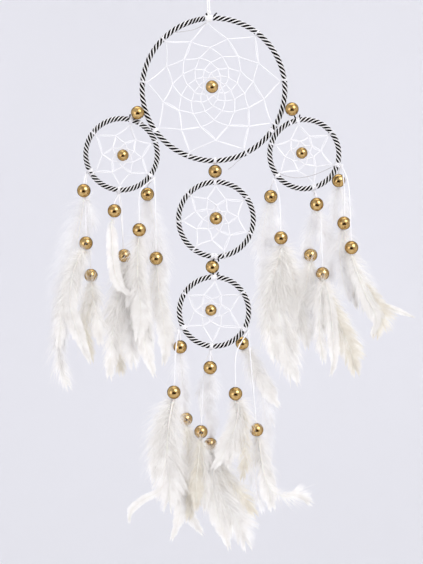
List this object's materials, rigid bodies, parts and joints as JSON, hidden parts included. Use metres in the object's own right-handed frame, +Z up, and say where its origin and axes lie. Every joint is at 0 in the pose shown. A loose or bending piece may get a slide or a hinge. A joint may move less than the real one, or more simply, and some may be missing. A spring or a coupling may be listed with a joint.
{
  "type": "dream catcher",
  "caption": "Hanging dream catcher: cord-wrapped hoops with thread webs and centre beads, joined by beads, with tassels of beads and feathers.",
  "frame": {"origin": "inside top of the hanging loop, where a nail or hook holds it", "axes": "+Z up, +X right as seen from the front, and the front faces -Y"},
  "size_m": [0.3692, 0.0352, 0.5977],
  "materials": {
    "steel_ring": "plain wire ring",
    "striped_cord": "black and white cords wound side by side",
    "web_thread": "white waxed thread",
    "hanging_thread": "white thread",
    "gold_bead": "metallised gold, polished",
    "feather": "soft white and cream feathers on white string"
  },
  "bodies": {
    "hanger": {"hanging_loop": "hanging_thread"},
    "hanging_knot": {"hanging_knot": "hanging_thread"},
    "main_hoop": {"main_hoop_core": "steel_ring", "main_hoop_wrap": "striped_cord", "main_hoop_web": "web_thread"},
    "main_centre_bead": {"main_centre_bead": "gold_bead"},
    "left_hoop": {"left_hoop_core": "steel_ring", "left_hoop_wrap": "striped_cord", "left_hoop_web": "web_thread"},
    "left_centre_bead": {"left_centre_bead": "gold_bead"},
    "right_hoop": {"right_hoop_core": "steel_ring", "right_hoop_wrap": "striped_cord", "right_hoop_web": "web_thread"},
    "right_centre_bead": {"right_centre_bead": "gold_bead"},
    "middle_hoop": {"middle_hoop_core": "steel_ring", "middle_hoop_wrap": "striped_cord", "middle_hoop_web": "web_thread"},
    "middle_centre_bead": {"middle_centre_bead": "gold_bead"},
    "lower_hoop": {"lower_hoop_core": "steel_ring", "lower_hoop_wrap": "striped_cord", "lower_hoop_web": "web_thread"},
    "lower_centre_bead": {"lower_centre_bead": "gold_bead"},
    "upper_link": {"main_middle_link_bead": "gold_bead"},
    "lower_link": {"middle_lower_link_bead": "gold_bead"},
    "left_link": {"main_left_link_bead": "gold_bead"},
    "right_link": {"main_right_link_bead": "gold_bead"},
    "left_tassel_1": {"left_tassel_1": "feather", "left_bead_1a": "gold_bead", "left_bead_1b": "gold_bead", "left_bead_1c": "gold_bead"},
    "left_tassel_2": {"left_tassel_2": "feather", "left_bead_2a": "gold_bead", "left_bead_2b": "gold_bead"},
    "left_tassel_3": {"left_tassel_3": "feather", "left_bead_3a": "gold_bead", "left_bead_3b": "gold_bead", "left_bead_3c": "gold_bead"},
    "right_tassel_1": {"right_tassel_1": "feather", "right_bead_1a": "gold_bead", "right_bead_1b": "gold_bead"},
    "right_tassel_2": {"right_tassel_2": "feather", "right_bead_2a": "gold_bead", "right_bead_2b": "gold_bead", "right_bead_2c": "gold_bead"},
    "right_tassel_3": {"right_tassel_3": "feather", "right_bead_3a": "gold_bead", "right_bead_3b": "gold_bead", "right_bead_3c": "gold_bead"},
    "lower_tassel_1": {"lower_tassel_1": "feather", "lower_bead_1a": "gold_bead", "lower_bead_1b": "gold_bead", "lower_bead_1c": "gold_bead"},
    "lower_tassel_2": {"lower_tassel_2": "feather", "lower_bead_2a": "gold_bead", "lower_bead_2b": "gold_bead", "lower_bead_2c": "gold_bead"},
    "lower_tassel_3": {"lower_tassel_3": "feather", "lower_bead_3a": "gold_bead", "lower_bead_3b": "gold_bead", "lower_bead_3c": "gold_bead"}
  },
  "joints": [
    {"name": "twist", "type": "hinge", "parent": "hanger", "child": "hanging_knot", "pos_m": [0.00187, 0, -0.05068], "axis": [0, 0, 1], "range_deg": [-60, 60]},
    {"name": "main_swing", "type": "hinge", "parent": "hanging_knot", "child": "main_hoop", "pos_m": [0.00187, 0, -0.05668], "axis": [1, 0, 0], "range_deg": [-8, 8]},
    {"name": "left_hoop_swing", "type": "hinge", "parent": "main_hoop", "child": "left_hoop", "pos_m": [-0.05541, 0, -0.17398], "axis": [0.576, 0, -0.8174], "range_deg": [-8, 10]},
    {"name": "right_hoop_swing", "type": "hinge", "parent": "main_hoop", "child": "right_hoop", "pos_m": [0.06916, 0, -0.17434], "axis": [0.5807, 0, 0.8141], "range_deg": [-8, 10]},
    {"name": "upper_link_swing", "type": "hinge", "parent": "main_hoop", "child": "upper_link", "pos_m": [0.007, 0, -0.2035], "axis": [1, 0, 0], "range_deg": [-5, 5]},
    {"name": "middle_hoop_swing", "type": "hinge", "parent": "upper_link", "child": "middle_hoop", "pos_m": [0.0095, 0, -0.2253], "axis": [1, 0, 0], "range_deg": [-8, 8]},
    {"name": "lower_link_swing", "type": "hinge", "parent": "middle_hoop", "child": "lower_link", "pos_m": [0.0095, 0, -0.3023], "axis": [1, 0, 0], "range_deg": [-5, 5]},
    {"name": "lower_hoop_swing", "type": "hinge", "parent": "lower_link", "child": "lower_hoop", "pos_m": [0.0075, 0, -0.3232], "axis": [1, 0, 0], "range_deg": [-8, 8]},
    {"name": "left_link_bead_spin", "type": "hinge", "parent": "left_hoop", "child": "left_link", "pos_m": [-0.0708, -0.007, -0.1549], "axis": [-0.5764, 0, 0.8171], "continuous": true},
    {"name": "right_link_bead_spin", "type": "hinge", "parent": "right_hoop", "child": "right_link", "pos_m": [0.0873, -0.007, -0.1512], "axis": [0.5807, 0, 0.8141], "continuous": true},
    {"name": "main_centre_bead_spin", "type": "hinge", "parent": "main_hoop", "child": "main_centre_bead", "pos_m": [0.0054, 0, -0.1272], "axis": [0.9921, 0, -0.1257], "continuous": true},
    {"name": "left_centre_bead_spin", "type": "hinge", "parent": "left_hoop", "child": "left_centre_bead", "pos_m": [-0.0864, 0, -0.1978], "axis": [0.3987, 0, -0.9171], "continuous": true},
    {"name": "right_centre_bead_spin", "type": "hinge", "parent": "right_hoop", "child": "right_centre_bead", "pos_m": [0.0979, 0, -0.1955], "axis": [0.6561, 0, -0.7547], "continuous": true},
    {"name": "middle_centre_bead_spin", "type": "hinge", "parent": "middle_hoop", "child": "middle_centre_bead", "pos_m": [0.0095, 0, -0.2628], "axis": [-0.1268, 0, -0.9919], "continuous": true},
    {"name": "lower_centre_bead_spin", "type": "hinge", "parent": "lower_hoop", "child": "lower_centre_bead", "pos_m": [0.0043, 0, -0.3574], "axis": [0.4823, 0, -0.876], "continuous": true},
    {"name": "left_tassel_1_swing", "type": "hinge", "parent": "left_hoop", "child": "left_tassel_1", "pos_m": [-0.12435, 0, -0.21624], "axis": [1, 0, 0], "range_deg": [-14, 14]},
    {"name": "left_tassel_2_swing", "type": "hinge", "parent": "left_hoop", "child": "left_tassel_2", "pos_m": [-0.09069, 0, -0.2381], "axis": [1, 0, 0], "range_deg": [-14, 14]},
    {"name": "left_tassel_3_swing", "type": "hinge", "parent": "left_hoop", "child": "left_tassel_3", "pos_m": [-0.05431, 0, -0.22113], "axis": [1, 0, 0], "range_deg": [-14, 14]},
    {"name": "right_tassel_1_swing", "type": "hinge", "parent": "right_hoop", "child": "right_tassel_1", "pos_m": [0.06926, 0, -0.222], "axis": [1, 0, 0], "range_deg": [-14, 14]},
    {"name": "right_tassel_2_swing", "type": "hinge", "parent": "right_hoop", "child": "right_tassel_2", "pos_m": [0.1109, 0, -0.23553], "axis": [1, 0, 0], "range_deg": [-14, 14]},
    {"name": "right_tassel_3_swing", "type": "hinge", "parent": "right_hoop", "child": "right_tassel_3", "pos_m": [0.13894, 0, -0.20845], "axis": [1, 0, 0], "range_deg": [-14, 14]},
    {"name": "lower_tassel_1_swing", "type": "hinge", "parent": "lower_hoop", "child": "lower_tassel_1", "pos_m": [-0.02872, 0, -0.37657], "axis": [1, 0, 0], "range_deg": [-14, 14]},
    {"name": "lower_tassel_2_swing", "type": "hinge", "parent": "lower_hoop", "child": "lower_tassel_2", "pos_m": [0.00399, 0, -0.39905], "axis": [1, 0, 0], "range_deg": [-14, 14]},
    {"name": "lower_tassel_3_swing", "type": "hinge", "parent": "lower_hoop", "child": "lower_tassel_3", "pos_m": [0.04275, 0, -0.37844], "axis": [1, 0, 0], "range_deg": [-14, 14]}
  ]
}
